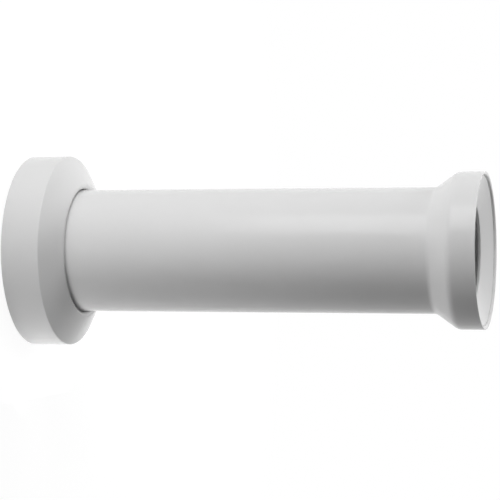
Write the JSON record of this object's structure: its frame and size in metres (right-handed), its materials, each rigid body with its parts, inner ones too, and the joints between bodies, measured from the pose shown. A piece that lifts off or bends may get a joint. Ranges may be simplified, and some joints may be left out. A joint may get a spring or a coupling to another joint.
{
  "type": "toilet pan connector",
  "caption": "Straight plastic pipe with a belled, rubber-sealed socket for a toilet pan's outlet and a loose wall rosette that slides along it.",
  "frame": {"origin": "centre of the wall end of the pipe, in the plane of the rosette's back", "axes": "+Z along the pipe from the wall end towards the pan, so that the part stands on its wall end"},
  "size_m": [0.1714, 0.1714, 0.4135],
  "materials": {
    "pipe_plastic": "smooth white moulded plastic with a soft gloss",
    "seal_rubber": "white matt rubber",
    "rosette_plastic": "smooth white moulded plastic, satin"
  },
  "bodies": {
    "connector": {"connector_pipe": "pipe_plastic", "pan_seal": "seal_rubber"},
    "rosette": {"wall_rosette": "rosette_plastic"}
  },
  "joints": [
    {"name": "rosette_slide", "type": "slide", "parent": "connector", "child": "rosette", "axis": [0, 0, 1], "range_m": [0, 0.32]}
  ]
}
